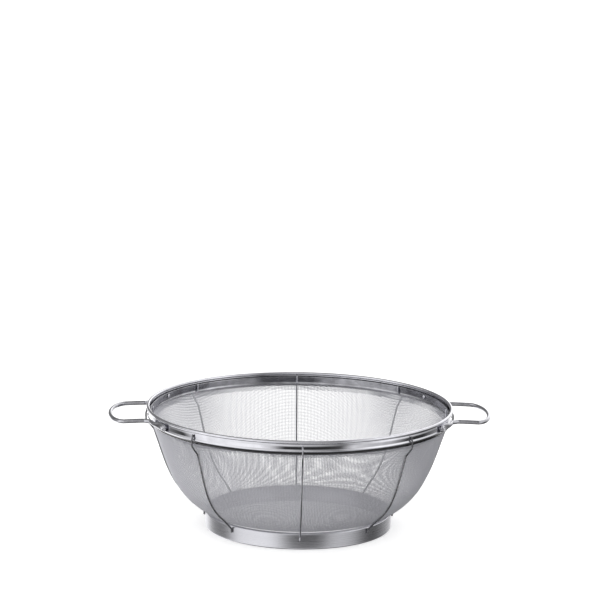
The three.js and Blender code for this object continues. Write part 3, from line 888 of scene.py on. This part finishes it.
def round_ramp(tree, stops, value):
    """Greys from (degrees, brightness) stops, for a value that goes from 0 to 1 in a full turn."""
    node = tree.nodes.new("ShaderNodeValToRGB")
    ramp = node.color_ramp
    while len(ramp.elements) < len(stops):
        ramp.elements.new(0.5)
    for element, (degrees, brightness) in zip(ramp.elements, stops):
        element.position = degrees / 360 + 0.5
        element.color = (brightness, brightness, brightness, 1)
    tree.links.new(value, node.inputs[0])
    return node.outputs[0]


# Brightness that the steel mirrors, by degrees from the camera's side towards +X. The directions were
# chosen. The brightness values are rounded results of a separate least-squares program, and about a third
# of them were then changed by hand.
AT_EYE_LEVEL = (
    (-180, 1.60), (-152, 1.60), (-136, 0.42), (-100, 0.04), (-84, 1.25), (-70, 1.15), (-34, 1.30),
    (-26, 0.90), (-14, 0.04), (18, 0.04), (28, 0.10), (38, 0.86), (68, 0.62), (86, 0.04), (104, 0.04),
    (140, 0.55), (164, 1.36), (180, 1.60),
)
ON_THE_TABLE = ((-180, 1.60), (-45, 1.60), (0, 1.45), (60, 1.08), (120, 0.06), (172, 0.06), (180, 1.60))
HIGH_UP = (
    (-180, 0.25), (-130, 0.25), (-80, 1.30), (-10, 0.88), (30, 0.25), (65, 1.50), (120, 0.88), (165, 1.60),
    (172, 1.60), (180, 0.25),
)
OVERHEAD = 0.30
# Degrees above the horizon where one part of the studio passes into the next.
HIGH_FROM = (-10.0, 4.0)
OVERHEAD_FROM = (45.0, 75.0)
TABLE_FROM = (-20.0, -30.0)
SHADOW_FROM = (-36.0, -50.0)
SHADOW = 0.13


def eased(tree, height, limits):
    """From 0 to 1 between two heights in degrees above the horizon, given the sine of the height."""
    start, end = limits
    return linked(
        tree, "ShaderNodeMapRange", [("interpolation_type", "SMOOTHSTEP")],
        _0=height, _1=math.sin(math.radians(start)), _2=math.sin(math.radians(end)), _3=0.0, _4=1.0,
    ).outputs[0]


def make_world():
    """White all round. Steel mirrors a studio of pale panels with dark gaps instead."""
    world = bpy.data.worlds.new("studio")
    world.use_nodes = True
    bpy.context.scene.world = world
    tree = world.node_tree
    direction = tree.nodes.new("ShaderNodeTexCoord").outputs["Generated"]
    axes = linked(tree, "ShaderNodeSeparateXYZ", Vector=direction).outputs
    azimuth = maths(tree, "ARCTAN2", axes[0], maths(tree, "MULTIPLY", axes[1], -1.0))
    turn = maths(tree, "ADD", maths(tree, "DIVIDE", azimuth, 2 * math.pi), 0.5)
    shadow = (SHADOW, SHADOW, SHADOW, 1)
    overhead = (OVERHEAD, OVERHEAD, OVERHEAD, 1)
    eye_level = round_ramp(tree, AT_EYE_LEVEL, turn)
    table = round_ramp(tree, ON_THE_TABLE, turn)
    high = round_ramp(tree, HIGH_UP, turn)
    studio = mixed(tree, eased(tree, axes[2], HIGH_FROM), eye_level, high)
    studio = mixed(tree, eased(tree, axes[2], OVERHEAD_FROM), studio, overhead)
    studio = mixed(tree, eased(tree, axes[2], TABLE_FROM), studio, table)
    studio = mixed(tree, eased(tree, axes[2], SHADOW_FROM), studio, shadow)
    is_glossy = tree.nodes.new("ShaderNodeLightPath").outputs["Is Glossy Ray"]
    shown = mixed(tree, is_glossy, (1.0, 1.0, 1.0, 1), studio)
    background = tree.nodes["Background"]
    tree.links.new(shown, background.inputs["Color"])
    background.inputs["Strength"].default_value = 1.0


# ---------- camera ----------
CAMERA_TARGET = Vector((0, 0, 0.05))
CAMERA_DISTANCE = 2.6
CAMERA_ELEVATION = math.radians(14.45)
CAMERA_TO_LEFT = math.radians(3.0)
AIM_UP = math.radians(3.473)  # the object stands below the middle of the picture
AIM_LEFT = math.radians(0.03)
CAMERA_ROLL = math.radians(0.88)
LENS = 169.6
SENSOR = 36.0


def make_camera():
    """A long lens, a little above the object and to the left of it, aimed at a point above it."""
    data = bpy.data.cameras.new("camera")
    data.lens = LENS
    data.sensor_width = SENSOR
    camera = bpy.data.objects.new("camera", data)
    bpy.context.scene.collection.objects.link(camera)
    level = math.cos(CAMERA_ELEVATION)
    back = Vector(
        (-math.sin(CAMERA_TO_LEFT) * level, -math.cos(CAMERA_TO_LEFT) * level, math.sin(CAMERA_ELEVATION))
    )
    camera.location = CAMERA_TARGET + back * CAMERA_DISTANCE
    camera.rotation_mode = "QUATERNION"
    camera.rotation_quaternion = (
        (-back).to_track_quat("-Z", "Y")
        @ Quaternion((1, 0, 0), AIM_UP)
        @ Quaternion((0, 1, 0), AIM_LEFT)
        @ Quaternion((0, 0, 1), CAMERA_ROLL)
    )
    data.clip_end = 100
    bpy.context.scene.camera = camera


make_woven_bowl()
make_rim()
make_foot()
make_ribs()
make_handles()
make_rivets()
make_floor()
make_world()
make_camera()
bpy.context.scene.view_settings.view_transform = "Standard"
